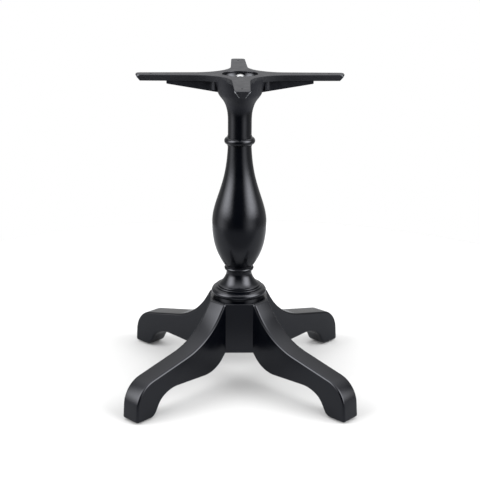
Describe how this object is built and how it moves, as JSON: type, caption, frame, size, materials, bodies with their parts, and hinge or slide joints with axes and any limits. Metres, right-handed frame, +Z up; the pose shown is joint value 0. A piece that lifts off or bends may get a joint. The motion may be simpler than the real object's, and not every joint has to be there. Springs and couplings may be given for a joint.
{
  "type": "pedestal table base",
  "caption": "Pedestal table base: turned baluster column on an octagonal hub with scroll-cut splayed legs, under a ribbed cast top spider that carries a table top.",
  "frame": {"origin": "on the floor under the column's axis", "axes": "+Z up along the column's axis, -Y towards the front; the legs run out along the diagonals and the spider's arms along X and Y"},
  "size_m": [0.51, 0.51, 0.72],
  "materials": {
    "black_lacquered_wood": "satin black lacquer on wood",
    "black_cast_iron": "satin black paint on a fine cast skin",
    "zinc_plated_steel": "bright zinc plating",
    "black_nylon": "moulded, matte"
  },
  "bodies": {
    "root": {"top_spider": "black_cast_iron", "column": "black_lacquered_wood", "hub_block": "black_lacquered_wood", "leg_front_left": "black_lacquered_wood", "leg_front_right": "black_lacquered_wood", "leg_back_left": "black_lacquered_wood", "leg_back_right": "black_lacquered_wood", "tie_rod": "zinc_plated_steel", "top_dome_nut": "zinc_plated_steel", "top_washer": "zinc_plated_steel", "bottom_washer": "zinc_plated_steel", "bottom_nut": "zinc_plated_steel", "leg_bolts": "zinc_plated_steel", "leg_bolt_washers": "zinc_plated_steel", "leg_bolt_nuts": "zinc_plated_steel", "glide_front_left": "black_nylon", "glide_front_right": "black_nylon", "glide_back_left": "black_nylon", "glide_back_right": "black_nylon", "glide_screws": "zinc_plated_steel"}
  },
  "joints": []
}
